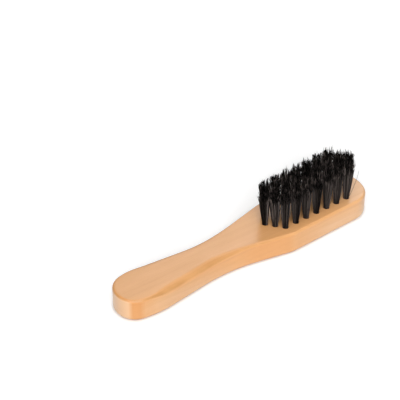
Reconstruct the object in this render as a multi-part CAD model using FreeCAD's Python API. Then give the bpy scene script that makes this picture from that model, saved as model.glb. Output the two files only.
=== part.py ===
import FreeCAD, Part
import math
import os

# A shoe shine brush: a flat wooden handle, narrow at the waist, with a head full of bristle tufts.
# Each tuft is a bundle of bristle folded under a flat metal anchor and driven into its own blind hole.
# Millimetres. X runs from the grip to the head, Z is up, and the back of the handle lies on Z = 0.

# Handle outline: widths are taken where the straight sides would meet, before they are blended
length = 178.8
thickness = 15.4
grip_end_width = 23.8
grip_crown = 4.2
grip_corner_radius = 12.5
belly_width = 28.8
belly_to_grip_end = 21.0
belly_radius = 60.0
waist_width = 17.0
waist_to_shoulder = 41.1
waist_radius = 115.0
shoulder_width = 35.2
shoulder_to_head_end = 64.5
shoulder_radius = 23.5
head_width = 33.0
head_crown = 7.2
head_corner_radius = 14.3

# Rims, rounded over: the top one is crisp at both ends and swells where the fingers close round the grip
top_rim_at_ends = 1.6
top_rim_at_grip = 4.2
back_rim = 2.8

# Tuft field: staggered rows, each one tuft shorter than the row nearer the middle
middle_row_tufts = 9
rows_each_side = 2
field_before_shoulder = 8.2
field_to_head_end = 9.8
field_to_side = 6.96

# Blind holes, drilled round: flats tangent to the drill's circle stand for it within 0.11 mm
hole_diameter = 4.0
hole_flats = 10
floor_under_holes = 4.5

# Anchors, set across the grain so that their ends bite without splitting the wood
anchor_thickness = 0.4
anchor_height = 2.0
anchor_bite = 0.4
bristle_under_anchor = 1.4

# Tufts: each is a bundle of locks, with grooves between them and a point on each lock
locks_per_tuft = 5
groove_depth = 0.45
bristle_height_at_grip = 22.5
bristle_height_at_head = 24.3
groove_drop = 2.6
tip_unevenness = 1.3
fan_out = 0.05

# Clearances: bristle in its hole, bristle round its anchor, and tuft to tuft at the tips
tuft_clearance = 0.05
anchor_clearance = 0.05
tip_clearance = 0.3

# Largest shares that a corner may take of a straight side, and of the circle that fills an end
side_room = 0.48
end_room = 0.96

Z_AXIS = FreeCAD.Vector(0, 0, 1)
GOLDEN_SHARE = (math.sqrt(5) - 1) / 2

grip_end = FreeCAD.Vector(-length / 2, 0, 0)
head_end = FreeCAD.Vector(length / 2, 0, 0)
shoulder_x = head_end.x - shoulder_to_head_end
grip_corner = FreeCAD.Vector(grip_end.x + grip_crown, grip_end_width / 2, 0)
belly = FreeCAD.Vector(grip_end.x + belly_to_grip_end, belly_width / 2, 0)
waist = FreeCAD.Vector(shoulder_x - waist_to_shoulder, waist_width / 2, 0)
shoulder = FreeCAD.Vector(shoulder_x, shoulder_width / 2, 0)
head_corner = FreeCAD.Vector(head_end.x - head_crown, head_width / 2, 0)

field_start_x = shoulder_x - field_before_shoulder
field_end_x = head_end.x - field_to_head_end
field_middle = FreeCAD.Vector((field_start_x + field_end_x) / 2, 0, 0)
half_pitch = (field_end_x - field_start_x) / (middle_row_tufts - 1) / 2
row_spacing = (head_width / 2 - field_to_side) / rows_each_side
tuft_spacing = min(math.hypot(half_pitch, row_spacing), 2 * half_pitch)

hole_radius = hole_diameter / 2
hole_depth = thickness - floor_under_holes
anchor_z = floor_under_holes + bristle_under_anchor
anchor_length = hole_diameter + 2 * anchor_bite
root_radius = hole_radius - tuft_clearance
groove_share = (root_radius - groove_depth) / root_radius
tip_radius = (tuft_spacing * (1 + fan_out) - tip_clearance) / 2


def tuft_places():
    """Row number, tuft number and hole centre of every tuft; rows count from the left side."""
    for row in range(-rows_each_side, rows_each_side + 1):
        for number in range(middle_row_tufts - abs(row)):
            x = field_start_x + (abs(row) + 2 * number) * half_pitch
            yield row + rows_each_side + 1, number + 1, FreeCAD.Vector(x, -row * row_spacing, 0)


def handle_outline():
    """Closed wire of the handle: crowned ends, and straight sides that meet at belly, waist and shoulder."""
    left = [grip_corner, belly, waist, shoulder, head_corner]
    right = [FreeCAD.Vector(point.x, -point.y, 0) for point in reversed(left)]
    left_side = [Part.LineSegment(a, b) for a, b in zip(left, left[1:])]
    right_side = [Part.LineSegment(a, b) for a, b in zip(right, right[1:])]
    head_arc = Part.Arc(left[-1], head_end, right[0])
    grip_arc = Part.Arc(right[-1], grip_end, left[0])
    curves = left_side + [head_arc] + right_side + [grip_arc]
    return Part.Wire([curve.toShape() for curve in curves])


def side_radius(wanted, before, corner, after):
    """Blend radius at a corner between two straight sides, held to the room that they leave."""
    turn = (corner - before).getAngle(after - corner)
    room = side_room * min((corner - before).Length, (after - corner).Length)
    return min(wanted, room / math.tan(turn / 2))


def end_radius(wanted, end, corner, following):
    """Corner radius at an end, held below that of the circle that touches the end and both sides."""
    side = corner - following
    draw_in = side.y / side.Length
    spread = abs(side.x) / side.Length
    full_round = (corner.y * spread + abs(end.x - corner.x) * draw_in) / (1 + draw_in)
    return min(wanted, end_room * full_round)


def blend_corners(blank, corner, radius):
    """Round the pair of upright edges that stand at this corner and at its mirror image."""
    upright = []
    for edge in blank.Edges:
        stands = math.isclose(edge.BoundBox.ZLength, thickness, rel_tol=1e-6)
        if stands and all(math.isclose(vertex.X, corner.x, abs_tol=1e-4) for vertex in edge.Vertexes):
            upright.append(edge)
    return blank.makeFillet(radius, upright)


def round_rim(blank, z, at_ends, at_grip):
    """Round over the rim at this height: one radius from belly to waist, another beyond, eased between."""
    rim = []
    for number, edge in enumerate(blank.Edges, start=1):
        if all(math.isclose(level, z, abs_tol=1e-4) for level in (edge.BoundBox.ZMin, edge.BoundBox.ZMax)):
            ends = (edge.firstVertex(True), edge.lastVertex(True))
            radii = [at_grip if belly.x < vertex.X < waist.x else at_ends for vertex in ends]
            rim.append((number, *radii))
    document = FreeCAD.newDocument()
    board = document.addObject("Part::Feature", "board")
    board.Shape = blank
    rounded = document.addObject("Part::Fillet", "rounded_board")
    rounded.Base = board
    rounded.Edges = rim
    document.recompute()
    return rounded.Shape


def strip_across_hole(centre, z, height, clearance=0):
    """Upright strip with an anchor's thickness and length, from this height up."""
    thick = anchor_thickness + 2 * clearance
    long = anchor_length + 2 * clearance
    corner = centre + FreeCAD.Vector(-thick / 2, -long / 2, z - clearance)
    return Part.makeBox(thick, long, height + 2 * clearance, corner)


def tuft_hole(centre):
    """What is taken from the wood: a flat-bottomed bore, and the slits that the anchor's ends cut."""
    corner_radius = hole_radius / math.cos(math.pi / hole_flats)
    rim = []
    for flat in range(hole_flats + 1):
        angle = 2 * math.pi * (flat + 0.5) / hole_flats
        reach = FreeCAD.Vector(corner_radius * math.cos(angle), corner_radius * math.sin(angle), thickness)
        rim.append(centre + reach)
    bore = Part.Face(Part.makePolygon(rim)).extrude(Z_AXIS * -hole_depth)
    return bore.fuse(strip_across_hole(centre, floor_under_holes, hole_depth)).removeSplitter()


def wooden_handle():
    """Board sawn to outline, blended where its sides and ends meet, rounded over, then drilled."""
    blank = Part.Face(handle_outline()).extrude(Z_AXIS * thickness)
    blank = blend_corners(blank, belly, side_radius(belly_radius, grip_corner, belly, waist))
    blank = blend_corners(blank, waist, side_radius(waist_radius, belly, waist, shoulder))
    blank = blend_corners(blank, shoulder, side_radius(shoulder_radius, waist, shoulder, head_corner))
    blank = blend_corners(blank, grip_corner, end_radius(grip_corner_radius, grip_end, grip_corner, belly))
    blank = blend_corners(blank, head_corner, end_radius(head_corner_radius, head_end, head_corner, shoulder))
    blank = round_rim(blank, thickness, top_rim_at_ends, top_rim_at_grip)
    blank = round_rim(blank, 0, back_rim, back_rim)
    return blank.cut([tuft_hole(centre) for _, _, centre in tuft_places()])


def tuft_anchor(centre):
    """Flat metal strip that pins the fold of a tuft, with its ends in the wood on both sides."""
    return strip_across_hole(centre, anchor_z, anchor_height)


def bristle_tuft(centre, serial):
    """Bundle folded under its anchor: straight in the hole, flaring and fanning out above the wood."""
    along = (centre.x - field_start_x) / (field_end_x - field_start_x)
    bristle_height = bristle_height_at_grip + along * (bristle_height_at_head - bristle_height_at_grip)
    tip_z = thickness + bristle_height
    fan = (centre - field_middle) * fan_out
    turn = math.modf(serial * GOLDEN_SHARE)[0]

    def bundle_point(lock, reach, z):
        """Point on the line that a lock's ridge, the groove after it or the bundle's middle follows."""
        rise = max(0, (z - thickness) / bristle_height)
        radius = reach * (root_radius + rise * (tip_radius - root_radius))
        angle = 2 * math.pi * (lock + turn) / locks_per_tuft
        return centre + fan * rise + FreeCAD.Vector(radius * math.cos(angle), radius * math.sin(angle), z)

    def ring(z):
        """Star-shaped section: a ridge for each lock and a groove after it."""
        points = []
        for lock in range(locks_per_tuft):
            points.append(bundle_point(lock, 1, z))
            points.append(bundle_point(lock + 0.5, groove_share, z))
        return points

    rings = [ring(floor_under_holes + tuft_clearance), ring(thickness), ring(tip_z - groove_drop)]
    for lock in range(locks_per_tuft):
        shortfall = tip_unevenness * math.modf((serial * locks_per_tuft + lock) * GOLDEN_SHARE)[0]
        rings[-1][2 * lock] = bundle_point(lock, 1, tip_z - shortfall)
    middle = bundle_point(0, 0, tip_z - tip_unevenness)

    outlines = [rings[0]]
    for low, high in zip(rings, rings[1:]):
        for i in range(2 * locks_per_tuft):
            outlines.append([low[i - 1], low[i], high[i], high[i - 1]])
    for i in range(2 * locks_per_tuft):
        outlines.append([rings[-1][i - 1], rings[-1][i], middle])
    faces = [Part.Face(Part.makePolygon(outline + outline[:1])) for outline in outlines]
    bundle = Part.Solid(Part.Shell(faces))
    return bundle.cut(strip_across_hole(centre, anchor_z, anchor_height, anchor_clearance))


os.makedirs("parts", exist_ok=True)
places = list(tuft_places())
wooden_handle().exportStep("parts/wooden_handle.step")
Part.Compound([tuft_anchor(centre) for _, _, centre in places]).exportStep("parts/tuft_anchors.step")
for serial, (row, number, centre) in enumerate(places, start=1):
    bristle_tuft(centre, serial).exportStep(f"parts/tuft_row{row}_{number}.step")
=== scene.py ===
import math

import bpy
import numpy as np
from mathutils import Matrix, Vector


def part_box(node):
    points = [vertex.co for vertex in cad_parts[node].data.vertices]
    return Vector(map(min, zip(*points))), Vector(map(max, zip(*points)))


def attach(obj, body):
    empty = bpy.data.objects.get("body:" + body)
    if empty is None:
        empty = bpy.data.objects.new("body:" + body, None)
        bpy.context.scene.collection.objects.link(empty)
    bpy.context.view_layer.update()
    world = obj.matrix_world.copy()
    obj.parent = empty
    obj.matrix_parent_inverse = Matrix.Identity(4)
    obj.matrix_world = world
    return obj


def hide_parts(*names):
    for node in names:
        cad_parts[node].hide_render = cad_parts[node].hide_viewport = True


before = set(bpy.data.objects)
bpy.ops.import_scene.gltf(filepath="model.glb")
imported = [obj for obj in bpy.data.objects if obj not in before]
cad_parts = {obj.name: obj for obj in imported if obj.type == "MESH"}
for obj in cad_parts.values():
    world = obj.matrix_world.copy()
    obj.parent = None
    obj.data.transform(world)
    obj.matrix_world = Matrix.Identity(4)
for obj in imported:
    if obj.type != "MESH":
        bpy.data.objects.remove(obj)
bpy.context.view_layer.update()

# The wooden handle: one flat board of pale, close-grained hardwood, sawn to a waisted outline, rounded
# over, sanded and given a thin satin finish. The grain runs lengthwise, and the growth rings that the
# saw cut through show as faint bands on the faces.
mm = 0.001
middle_of_noise = (0.35, 0.65)
most_of_noise = (0.3, 0.7)


def add_node(finish, kind, inputs, **settings):
    """A node of a finish, with its settings, and with each input set or fed by another node."""
    made = finish.node_tree.nodes.new(kind)
    for setting, value in settings.items():
        setattr(made, setting, value)
    for socket, value in inputs.items():
        if isinstance(value, bpy.types.NodeSocket):
            finish.node_tree.links.new(value, made.inputs[socket])
        else:
            made.inputs[socket].default_value = value
    return made


def new_finish(name):
    """An empty finish and the shader that it ends in."""
    finish = bpy.data.materials.new(name)
    finish.use_nodes = True
    return finish, finish.node_tree.nodes["Principled BSDF"]


def noise(finish, place, repeats, detail=2.0, coarseness=0.5):
    """Noise from 0 to 1, with this many repeats in a metre along each axis."""
    spot = add_node(finish, "ShaderNodeMapping", {"Vector": place, "Scale": repeats})
    settings = {"Vector": spot.outputs[0], "Scale": 1.0, "Detail": detail, "Roughness": coarseness}
    return add_node(finish, "ShaderNodeTexNoise", settings).outputs[0]


def between(finish, value, low, high, start=0.0, end=1.0):
    """The value from start to end, spread from low to high."""
    limits = {"Value": value, "From Min": start, "From Max": end, "To Min": low, "To Max": high}
    return add_node(finish, "ShaderNodeMapRange", limits).outputs[0]


def combine(finish, way, first, second):
    """Two values added, multiplied or otherwise worked into one."""
    return add_node(finish, "ShaderNodeMath", {0: first, 1: second}, operation=way).outputs[0]


def tint(finish, amount, under, over):
    """One colour laid over another by this amount."""
    inputs = {0: amount, 6: under, 7: over}
    return add_node(finish, "ShaderNodeMix", inputs, data_type="RGBA").outputs[2]


def growth_rings(wood, place):
    """Distance from the pith, which lay above the board's far side, and the dark end of each ring."""
    pith_shift = (0, -44 * mm, -61 * mm)
    pith_lean = (0, -0.03, 0.01)
    ring_width = 3.2 * mm
    ring_waver = 0.9
    waver_repeats = (10, 55, 55)
    late_start = 0.35
    late_end = 0.94

    placing = {"Vector": place, "Location": pith_shift, "Rotation": pith_lean}
    from_pith = add_node(wood, "ShaderNodeMapping", placing).outputs[0]
    across = {0: from_pith, 1: (0, 1, 1)}
    from_pith = add_node(wood, "ShaderNodeVectorMath", across, operation="MULTIPLY").outputs[0]
    depth = add_node(wood, "ShaderNodeVectorMath", {0: from_pith}, operation="LENGTH").outputs["Value"]

    waver = between(wood, noise(wood, place, waver_repeats), -ring_waver, ring_waver)
    rings = combine(wood, "ADD", combine(wood, "DIVIDE", depth, ring_width), waver)
    ring_place = combine(wood, "FRACT", rings, 0.0)
    late = between(wood, ring_place, 0.0, 1.0, late_start, late_end)
    late = combine(wood, "MULTIPLY", late, between(wood, ring_place, 1.0, 0.0, late_end, 1.0))
    return depth, late


def colour_across_board(wood, place, lengthwise, depth):
    """Ochre to peach across the flat, honey down the near side, paler along the near side towards grip
    and head, and a painted sheen that pales the head end.
    """
    ochre = (0.665, 0.335, 0.122, 1)
    peach = (0.735, 0.380, 0.162, 1)
    honey = (0.800, 0.412, 0.168, 1)
    pale_wood = (0.840, 0.510, 0.275, 1)
    mottle_repeats = (22, 70, 70)
    most_ochre = 0.8
    pale_at_grip = 0.7
    pale_at_waist = 0.15
    sheen_at_head_end = 0.55

    # Distances from the pith, over which one colour passes into the next
    ochre_to_peach = (54 * mm, 68 * mm)
    peach_to_honey = (70 * mm, 75 * mm)
    honey_to_pale = (75 * mm, 80 * mm)

    # Stretches along the handle
    grip_to_waist = (-40 * mm, 0)
    shoulder_to_head = (30 * mm, 55 * mm)
    head_to_end = (54 * mm, 84 * mm)

    mottle = between(wood, noise(wood, place, mottle_repeats), 0.0, most_ochre, *middle_of_noise)
    far_side = between(wood, depth, most_ochre, 0.0, *ochre_to_peach)
    colour = tint(wood, combine(wood, "ADD", mottle, far_side), peach, ochre)
    colour = tint(wood, between(wood, depth, 0.0, 1.0, *peach_to_honey), colour, honey)
    # Painted sheen: the flat pales towards the head end
    head_end_sheen = between(wood, lengthwise, 0.0, sheen_at_head_end, *head_to_end)
    colour = tint(wood, head_end_sheen, colour, pale_wood)
    at_grip = between(wood, lengthwise, pale_at_grip, pale_at_waist, *grip_to_waist)
    at_head = between(wood, lengthwise, pale_at_waist, 1.0, *shoulder_to_head)
    pale = combine(wood, "MAXIMUM", at_grip, at_head)
    pale = combine(wood, "MULTIPLY", pale, between(wood, depth, 0.0, 1.0, *honey_to_pale))
    return tint(wood, pale, colour, pale_wood)


def cut_across(wood, colour, facing):
    """Orange where the grip curves round to its end and cuts the fibres aslant; the end itself is pale
    with a painted sheen.
    """
    slanting_grain = (0.700, 0.305, 0.095, 1)
    end_sheen = (0.850, 0.560, 0.340, 1)
    most_slanting = 0.8
    most_end_sheen = 0.75

    # How far the surface turns towards the grip end
    aslant = (0.06, 0.36)
    square = (0.66, 0.80)

    endwise = combine(wood, "MULTIPLY", facing.outputs["X"], -1.0)
    colour = tint(wood, between(wood, endwise, 0.0, most_slanting, *aslant), colour, slanting_grain)
    # Painted sheen: the end face is tinted pale
    return tint(wood, between(wood, endwise, 0.0, most_end_sheen, *square), colour, end_sheen)


def shaded_rim(wood, colour, place, lengthwise, facing):
    """Painted shade: browner along the rounded top rim, in patches, most along the grip and least at the
    head.
    """
    rim_shade_brown = (0.530, 0.250, 0.078, 1)
    shade_at_grip = 0.85
    shade_at_head = 0.3
    grip_to_head = (5 * mm, 28 * mm)
    patch_repeats = (60, 160, 160)
    faintest_patch = 0.5

    # How far the surface turns up, from the upright side to the flat top
    side_to_rim = (0.2, 0.5)
    rim_to_flat = (0.85, 0.98)

    rim = between(wood, facing.outputs["Z"], 0.0, 1.0, *side_to_rim)
    rim = combine(wood, "MULTIPLY", rim, between(wood, facing.outputs["Z"], 1.0, 0.0, *rim_to_flat))
    rim_shading = between(wood, lengthwise, shade_at_grip, shade_at_head, *grip_to_head)
    rim_shading = combine(wood, "MULTIPLY", rim, rim_shading)
    patches = between(wood, noise(wood, place, patch_repeats), faintest_patch, 1.0, *middle_of_noise)
    return tint(wood, combine(wood, "MULTIPLY", rim_shading, patches), colour, rim_shade_brown)


def lacquered_hardwood():
    """Growth rings, fine fibres and short flecks under thin satin lacquer, with painted shade on the top
    rim and painted sheen on the grip end and towards the head end.
    """
    latewood = (0.590, 0.260, 0.085, 1)
    fleck_brown = (0.400, 0.170, 0.055, 1)
    fibre_repeats = (32, 2300, 2300)
    streak_repeats = (9, 330, 330)
    fleck_repeats = (340, 3000, 3000)
    dark_streaks = (0.45, 0.8)
    dark_fibres = (0.4, 0.8)
    fleck_edge = (0.12, 0.3)
    ring_strength = 0.10
    streak_strength = 0.10
    fibre_strength = 0.10
    fleck_strength = 0.12
    fleck_depth = 0.5
    smoothest = 0.42
    roughest = 0.54

    wood, shader = new_finish("lacquered_hardwood")
    coordinates = add_node(wood, "ShaderNodeTexCoord", {})
    place = coordinates.outputs["Object"]
    lengthwise = add_node(wood, "ShaderNodeSeparateXYZ", {0: place}).outputs["X"]
    facing = add_node(wood, "ShaderNodeSeparateXYZ", {0: coordinates.outputs["Normal"]})

    fibres = noise(wood, place, fibre_repeats, detail=3.0, coarseness=0.6)
    streaks = noise(wood, place, streak_repeats)
    fleck_place = add_node(wood, "ShaderNodeMapping", {"Vector": place, "Scale": fleck_repeats})
    cells = add_node(wood, "ShaderNodeTexVoronoi", {"Vector": fleck_place.outputs[0], "Scale": 1.0})
    flecks = between(wood, cells.outputs["Distance"], 1.0, 0.0, *fleck_edge)

    depth, late = growth_rings(wood, place)
    colour = colour_across_board(wood, place, lengthwise, depth)
    colour = tint(wood, combine(wood, "MULTIPLY", late, ring_strength), colour, latewood)
    colour = tint(wood, between(wood, streaks, 0.0, streak_strength, *dark_streaks), colour, latewood)
    colour = tint(wood, between(wood, fibres, 0.0, fibre_strength, *dark_fibres), colour, fleck_brown)
    colour = tint(wood, combine(wood, "MULTIPLY", flecks, fleck_strength), colour, fleck_brown)
    # Orange aslant at the grip end, and a painted sheen on its end face
    colour = cut_across(wood, colour, facing)
    # Painted shade along the rounded top rim
    colour = shaded_rim(wood, colour, place, lengthwise, facing)

    roughness = between(wood, fibres, smoothest, roughest, *most_of_noise)
    surface = combine(wood, "SUBTRACT", fibres, combine(wood, "MULTIPLY", flecks, fleck_depth))
    bumps = {"Height": surface, "Strength": 0.2, "Distance": 0.05 * mm}
    relief = add_node(wood, "ShaderNodeBump", bumps).outputs[0]
    wood.node_tree.links.new(colour, shader.inputs["Base Color"])
    wood.node_tree.links.new(roughness, shader.inputs["Roughness"])
    wood.node_tree.links.new(relief, shader.inputs["Normal"])
    shader.inputs["Specular IOR Level"].default_value = 0.25
    shader.inputs["Coat Weight"].default_value = 0.6
    shader.inputs["Coat Roughness"].default_value = 0.22
    return wood


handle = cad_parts["wooden_handle"]
handle.material_slots[0].material = lacquered_hardwood()
wood_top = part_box("wooden_handle")[1].z

# The tuft anchors: short flat strips cut from drawn steel wire. One is driven into each hole over the
# fold of the tuft, and its two ends bite into the wood on both sides of the hole.
anchor_thickness = 0.4 * mm
anchor_length = 4.8 * mm


def drawn_steel():
    """Bright wire with fine scratches along it."""
    dull = (0.42, 0.41, 0.40, 1)
    bright = (0.62, 0.61, 0.60, 1)
    scratch_repeats = (4000, 260, 6000)
    smoothest = 0.24
    roughest = 0.42

    steel, shader = new_finish("drawn_steel")
    place = add_node(steel, "ShaderNodeTexCoord", {}).outputs["Object"]
    scratches = noise(steel, place, scratch_repeats, detail=3.0)
    colour = tint(steel, scratches, dull, bright)
    roughness = between(steel, scratches, smoothest, roughest)
    bumps = {"Height": scratches, "Strength": 0.2, "Distance": 0.01 * mm}
    relief = add_node(steel, "ShaderNodeBump", bumps).outputs[0]
    steel.node_tree.links.new(colour, shader.inputs["Base Color"])
    steel.node_tree.links.new(roughness, shader.inputs["Roughness"])
    steel.node_tree.links.new(relief, shader.inputs["Normal"])
    shader.inputs["Metallic"].default_value = 1.0
    return steel


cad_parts["tuft_anchors"].material_slots[0].material = drawn_steel()
anchors_low, anchors_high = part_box("tuft_anchors")

# The tufts: bundles of stiff black filament, folded in half under their anchors so that both ends of
# every filament stand up. The ends are trimmed after filling, flare out above the wood, and lean
# together in locks and small points.
middle_row_tufts = 9
rows_each_side = 2
filaments_per_tuft = 90
filament_radius = 0.125 * mm
filament_sides = 4
tip_taper = 0.35
golden_share = (math.sqrt(5) - 1) / 2

# The bundle: roots in the hole, a flare that opens early, and a fan round a spot towards the head end
room_in_hole = 1.9 * mm
root_radius = 1.75 * mm
tip_radius = 3.5 * mm
crowding_outwards = 0.42
leg_scatter = 0.06
flare_curve = 0.85
fan_out = 0.03
fan_shift = 15 * mm
bow = 0.13 * mm
tip_curl = 0.4 * mm
curl_start = 0.8
leg_shares = (1, 0.95, 0.88, 0.76, 0.60, 0.42, 0.21, 0)
fold_shares = (0.25, 0.5, 0.75)

# Locks, points, long ends and strays
locks_per_tuft = 5
lock_shortfall = 0.4 * mm
groove_drop = 0.3 * mm
groove_curve = 1.5
points_per_tuft = 18
point_scatter = 0.09
point_pull = (0.4, 0.85)
point_unevenness = 0.6 * mm
tip_scatter = 0.16 * mm
tuft_scatter = 0.18 * mm
trimmed_off = 1.2 * mm
trim_unevenness = 0.5 * mm
long_share = 0.14
long_extra = (0.8 * mm, 3.0 * mm)
stray_share = 0.03
stray_lean = 1.3 * mm

# Painted light: strands with a painted shine or none, its fade from root to tip, painted shade and tip
# glints
filaments_per_strand = 6
highlight_curve = 1.6
middle_share = 0.78
shaded_middle_share = 0.8
shaded_point_share = 0.7
root_fade = ((0, 0.5), (0.55, 1.08))
shaded_point_fade = ((0.9, 0.98), (1, 0))
glint_fade = ((0.86, 1), (1, 2))
middle_fade = ((0.78, 0.93), (1, 0))

first_x = anchors_low.x + anchor_thickness / 2
last_x = anchors_high.x - anchor_thickness / 2
half_pitch = (last_x - first_x) / (middle_row_tufts - 1) / 2
row_spacing = (anchors_high.y - anchor_length / 2) / rows_each_side
fan_middle = np.array([(first_x + last_x) / 2 + fan_shift, 0])
under_anchor = anchors_low.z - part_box("tuft_row1_1")[0].z


def black_filament():
    """Black nylon, with painted highlights and shade carried on each filament, and its own scuffs."""
    black = (0.0006, 0.0005, 0.0005, 1)
    highlight_grey = (0.240, 0.200, 0.182, 1)
    scuff_repeats = (2600, 2600, 240)
    smoothest = 0.32
    roughest = 0.48

    filament, shader = new_finish("black_filament")
    painted_light = add_node(filament, "ShaderNodeAttribute", {}, attribute_name="painted_light").outputs["Fac"]
    place = add_node(filament, "ShaderNodeTexCoord", {}).outputs["Object"]
    scuffs = noise(filament, place, scuff_repeats)
    # Painted highlights: grey laid on where the filaments would shine
    colour = tint(filament, painted_light, black, highlight_grey)
    roughness = between(filament, scuffs, smoothest, roughest, *most_of_noise)
    bumps = {"Height": scuffs, "Strength": 0.2, "Distance": 0.02 * mm}
    relief = add_node(filament, "ShaderNodeBump", bumps).outputs[0]
    filament.node_tree.links.new(colour, shader.inputs["Base Color"])
    filament.node_tree.links.new(roughness, shader.inputs["Roughness"])
    filament.node_tree.links.new(relief, shader.inputs["Normal"])
    shader.inputs["Specular IOR Level"].default_value = 0.02
    return filament


def spread_ends(random, tip_z, serial):
    """Where the two legs of each filament stand, where and how high their tips are, and their points."""
    number = np.arange(filaments_per_tuft)
    reach = ((number + 0.5) / filaments_per_tuft) ** crowding_outwards
    swing = (np.mod(number * golden_share, 1) - 0.5) * math.pi
    angles = np.stack([swing, math.pi - swing]) + random.normal(0, leg_scatter, (2, filaments_per_tuft))
    unit = np.stack([reach * np.cos(angles), reach * np.sin(angles)], axis=-1)

    # Small points: each end leans towards the nearest one
    order = np.arange(points_per_tuft)
    turn = random.uniform(0, 2 * math.pi)
    spots = np.sqrt((order + 0.5) / points_per_tuft)
    spins = order * 2 * math.pi * golden_share + turn
    points = np.stack([spots * np.cos(spins), spots * np.sin(spins)], axis=-1)
    points = points + random.normal(0, point_scatter, points.shape)
    nearest = np.argmin(np.linalg.norm(unit[:, :, None] - points, axis=-1), axis=-1)
    pull = random.uniform(*point_pull, nearest.shape)[..., None]
    leaning = unit + pull * (points[nearest] - unit)
    tips = tip_radius * leaning + random.normal(0, tip_scatter, unit.shape)
    tips = tips + random.normal(0, tuft_scatter, 2)

    # Locks: the ends stand highest on the ridge of their lock and drop towards the groove
    lock_turn = math.modf(serial * golden_share)[0]
    lock_place = np.mod(angles / (2 * math.pi) * locks_per_tuft - lock_turn + 0.5, locks_per_tuft)
    lock = lock_place.astype(int)
    off_ridge = 2 * np.abs(lock_place - lock - 0.5)
    shortfall = lock_shortfall * np.mod((serial * locks_per_tuft + lock) * golden_share, 1)
    drop = shortfall * reach + groove_drop * off_ridge**groove_curve * reach
    point_height = random.normal(0, point_unevenness, points_per_tuft)[nearest]
    trim = random.normal(-trimmed_off, trim_unevenness, nearest.shape)
    heights = tip_z - wood_top - drop + point_height + trim
    long = random.random(nearest.shape) < long_share
    heights = heights + long * random.uniform(*long_extra, nearest.shape)

    # Strays lean further aside than the rest
    stray = random.random(nearest.shape) < stray_share
    tips = tips + stray[..., None] * random.normal(0, stray_lean, unit.shape)
    return unit, tips, heights, nearest[0]


def lines_in_hole(roots):
    """Points below the wood's top: down past the anchor, round the fold and up the other side."""
    half_width = np.sqrt(room_in_hole**2 - roots[..., 1] ** 2) - filament_radius
    inner = anchor_thickness / 2 + filament_radius
    outward = np.abs(roots[..., 0]) / np.maximum(half_width, filament_radius)
    apart = np.maximum(inner + outward * (half_width - inner), inner)
    side = np.sign(roots[..., 0])
    legs = []
    for level in (anchors_high.z, anchors_low.z):
        legs.append(np.stack([side * apart, roots[..., 1], np.full(apart.shape, level)], axis=-1))

    start, end = legs[-1]
    nest = apart.mean(axis=0) / room_in_hole
    sag = filament_radius + nest * (under_anchor - 2 * filament_radius)
    fold = []
    for share in fold_shares:
        bend = (start + end) / 2 + (start - end) / 2 * math.cos(share * math.pi)
        bend[:, 2] -= sag * math.sin(share * math.pi)
        fold.append(bend)
    return [leg[0] for leg in legs] + fold + [leg[1] for leg in reversed(legs)]


def paint_filament_light(random, unit, point, rise):
    """Painted shine, shared by neighbours in strands and weaker at the roots; painted shade on the
    bundle's middle and most points, painted glints on the other points.
    """
    strand = np.argsort(np.argsort(np.arctan2(unit[:, 1], unit[:, 0]))) // filaments_per_strand
    highlight = random.random(strand.max() + 1)[strand] ** highlight_curve * random.random(filaments_per_tuft)
    inside = np.linalg.norm(unit, axis=-1) < middle_share
    shaded_middle = inside & (random.random(filaments_per_tuft) < shaded_middle_share)
    shaded_point = (random.random(points_per_tuft) < shaded_point_share)[point]
    shaded_end = np.interp(rise, *shaded_point_fade)
    glint_end = np.interp(rise, *glint_fade)
    fade = np.where(shaded_point[:, None], shaded_end, glint_end)
    fade = np.where(shaded_middle[:, None], np.interp(rise, *middle_fade), fade)
    return highlight[:, None] * fade * np.interp(rise, *root_fade)


def filament_lines(centre, tip_z, serial):
    """Points along every filament, down one leg, under the anchor and up the other, and their painted
    light.
    """
    random = np.random.default_rng(serial)
    unit, tips, heights, point = spread_ends(random, tip_z, serial)
    fan = fan_out * (centre - fan_middle)
    roots = (root_radius - filament_radius) * unit
    bows = random.normal(0, bow, unit.shape)
    curls = random.normal(0, tip_curl, unit.shape)

    legs = []
    for share in leg_shares:
        beside = roots + share**flare_curve * (tips - roots + fan) + math.sin(math.pi * share) * bows
        beside = beside + np.interp(share, (curl_start, 1), (0, 1)) * curls
        height = wood_top + share * heights
        legs.append(np.concatenate([beside, height[..., None]], axis=-1))
    in_hole = lines_in_hole(roots)
    lines = [leg[0] for leg in legs] + in_hole + [leg[1] for leg in reversed(legs)]
    lines = np.stack(lines, axis=1) + np.array([*centre, 0])

    rise = np.concatenate([leg_shares, np.zeros(len(in_hole)), leg_shares[::-1]])
    return lines, paint_filament_light(random, unit[0], point, rise)


def surface_map(count, steps):
    """Map of a tuft's whole surface: an upright strip for each filament, its ends in the margins."""
    margin = 0.02
    gap = 0.1
    strip, step, wall = np.meshgrid(range(count), range(steps - 1), range(filament_sides), indexing="ij")
    left = (strip + gap + (1 - 2 * gap) * wall / filament_sides) / count
    right = left + (1 - 2 * gap) / filament_sides / count
    low, high = (margin + (1 - 2 * margin) * (step + rise) / (steps - 1) for rise in (0, 1))
    maps = [np.stack([left, low, right, low, right, high, left, high], axis=-1).reshape(-1, 2)]

    left = (np.arange(count) + gap) / count
    right = (np.arange(count) + 1 - gap) / count
    for base in (0, 1 - margin):
        low = np.full(count, base + gap * margin)
        high = np.full(count, base + (1 - gap) * margin)
        maps.append(np.stack([left, low, right, low, right, high, left, high], axis=-1).reshape(-1, 2))
    return np.concatenate(maps)


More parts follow.
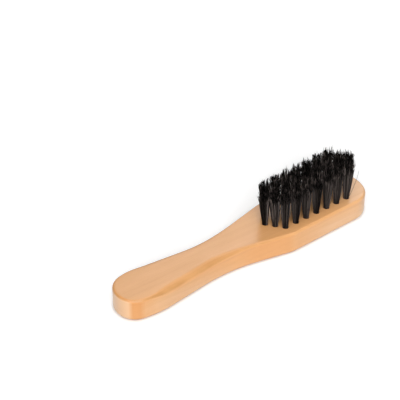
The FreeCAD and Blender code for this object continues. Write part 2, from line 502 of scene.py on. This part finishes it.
def filament_mesh(name, lines, painted_light_levels):
    """Square-sectioned tubes along the lines, with their painted light and a map of the whole surface.
    """
    count, steps, _ = lines.shape
    along = np.gradient(lines, axis=1)
    along /= np.linalg.norm(along, axis=2, keepdims=True)
    side = np.cross(along, (0, 1, 0))
    side /= np.linalg.norm(side, axis=2, keepdims=True)
    other = np.cross(along, side)
    turns = 2 * math.pi * np.arange(filament_sides) / filament_sides
    ring = side[:, :, None] * np.cos(turns)[:, None] + other[:, :, None] * np.sin(turns)[:, None]
    radius = np.full(steps, filament_radius)
    radius[[0, -1]] *= tip_taper
    skin = lines[:, :, None] + radius[:, None, None] * ring

    corner = np.arange(count * steps * filament_sides).reshape(count, steps, filament_sides)
    beside = np.roll(corner, -1, axis=2)
    walls = np.stack([corner[:, :-1], beside[:, :-1], beside[:, 1:], corner[:, 1:]], axis=-1)
    walls = walls.reshape(-1, 4)
    ends = np.concatenate([corner[:, 0, ::-1], corner[:, -1]])
    mesh = bpy.data.meshes.new(name)
    mesh.from_pydata(skin.reshape(-1, 3).tolist(), [], np.concatenate([walls, ends]).tolist())
    mesh.polygons.foreach_set("use_smooth", np.arange(len(mesh.polygons)) < len(walls))
    painted_light = mesh.attributes.new("painted_light", "FLOAT", "POINT")
    painted_light.data.foreach_set("value", np.repeat(painted_light_levels, filament_sides).astype(np.float32))
    bake_map = mesh.uv_layers.new(name="OFBake")
    bake_map.data.foreach_set("uv", surface_map(count, steps).ravel().astype(np.float32))
    return mesh


filament_finish = black_filament()
serial = 0
for row in range(-rows_each_side, rows_each_side + 1):
    for number in range(middle_row_tufts - abs(row)):
        serial += 1
        label = f"row{row + rows_each_side + 1}_{number + 1}"
        centre = np.array([first_x + (abs(row) + 2 * number) * half_pitch, -row * row_spacing])
        lines, painted_light_levels = filament_lines(centre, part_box(f"tuft_{label}")[1].z, serial)
        mesh = filament_mesh(f"bristles_{label}", lines, painted_light_levels)
        mesh.materials.append(filament_finish)
        tuft = bpy.data.objects.new(f"bristles_{label}", mesh)
        bpy.context.scene.collection.objects.link(tuft)
        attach(tuft, "root")
        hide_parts(f"tuft_{label}")

# The table under the brush: a plain white board, large enough to reach past every view, in a white room.
# Two large soft lamps stand on the viewer's side of the brush, one low and one high, and a smaller panel
# behind the brush is mirrored in the flat of the handle.
table_half_width = 3.0
white = (1, 1, 1, 1)


def looked_at(finish):
    """1 where a thing is looked at, directly, in gloss or through glass, and 0 where it only lights."""
    rays = add_node(finish, "ShaderNodeLightPath", {})
    seen = combine(finish, "MAXIMUM", rays.outputs["Is Camera Ray"], rays.outputs["Is Glossy Ray"])
    return combine(finish, "MAXIMUM", seen, rays.outputs["Is Transmission Ray"])


def white_board():
    """Matt white paint, lifted to full white where it is looked at, with the shadow left in it and a
    warm contact shadow painted in close under the brush.
    """
    warm_shadow = (0.52, 0.42, 0.34, 1)
    light_returned = (0.35, 0.35, 0.35, 1)
    shadow_reach = 3 * mm
    least_open = 0.55
    lift = 0.19

    board, shader = new_finish("white_board")
    seen = looked_at(board)
    # Painted contact shadow: warmer and less lifted where the board lies close under the brush
    open_sky = add_node(board, "ShaderNodeAmbientOcclusion", {"Distance": shadow_reach}).outputs["AO"]
    open_sky = between(board, open_sky, least_open, 1.0)
    colour = tint(board, seen, light_returned, tint(board, open_sky, warm_shadow, white))
    glow = combine(board, "MULTIPLY", combine(board, "MULTIPLY", seen, open_sky), lift)
    board.node_tree.links.new(colour, shader.inputs["Base Color"])
    board.node_tree.links.new(glow, shader.inputs["Emission Strength"])
    shader.inputs["Emission Color"].default_value = white
    shader.inputs["Roughness"].default_value = 0.9
    shader.inputs["Specular IOR Level"].default_value = 0.0
    return board


corner_signs = ((-1, -1), (1, -1), (1, 1), (-1, 1))
table_corners = [(x * table_half_width, y * table_half_width, 0) for x, y in corner_signs]
table_mesh = bpy.data.meshes.new("table")
table_mesh.from_pydata(table_corners, [], [(0, 1, 2, 3)])
table_mesh.materials.append(white_board())
table = bpy.data.objects.new("table", table_mesh)
bpy.context.scene.collection.objects.link(table)

# The room: white where it is looked at, and dim as a light
room_light = 0.03
room = bpy.data.worlds.new("white_room")
room.use_nodes = True
bpy.context.scene.world = room
backdrop = room.node_tree.nodes["Background"]
backdrop.inputs["Color"].default_value = white
room.node_tree.links.new(between(room, looked_at(room), room_light, 1.0), backdrop.inputs["Strength"])

# The viewer, on the near side of the grip, and the lamps, whose turns are counted from there
view_yaw = 36.27
view_rise = 38.70
view_distance = 907.6 * mm
view_aim = Vector((10.14 * mm, 56.29 * mm, 0))


def from_side(yaw, rise):
    """Direction from the brush to what stands at this turn and height above the table, in degrees."""
    yaw, rise = math.radians(yaw), math.radians(rise)
    return Vector((-math.sin(yaw) * math.cos(rise), -math.cos(yaw) * math.cos(rise), math.sin(rise)))


def add_lamp(name, turn, rise, width, strength):
    """A far, soft lamp at this turn from the viewer and this height, and this wide, all in degrees."""
    light = bpy.data.lights.new(name, "SUN")
    light.energy = strength
    light.angle = math.radians(width)
    lamp = bpy.data.objects.new(name, light)
    lamp.rotation_euler = from_side(view_yaw + turn, rise).to_track_quat("Z", "Y").to_euler()
    bpy.context.scene.collection.objects.link(lamp)


add_lamp("low_lamp", turn=0, rise=15, width=60, strength=2.95)
add_lamp("high_lamp", turn=0, rise=65, width=60, strength=2.04)
add_lamp("back_panel", turn=188, rise=36, width=26, strength=0.44)

camera_lens = bpy.data.cameras.new("view_from_the_grip")
camera_lens.sensor_width = 36
camera_lens.lens = 131.28
camera = bpy.data.objects.new("view_from_the_grip", camera_lens)
camera.location = view_aim + view_distance * from_side(view_yaw, view_rise)
camera.rotation_euler = from_side(view_yaw, view_rise).to_track_quat("Z", "Y").to_euler()
bpy.context.scene.collection.objects.link(camera)
bpy.context.scene.camera = camera
bpy.context.scene.view_settings.view_transform = "Standard"
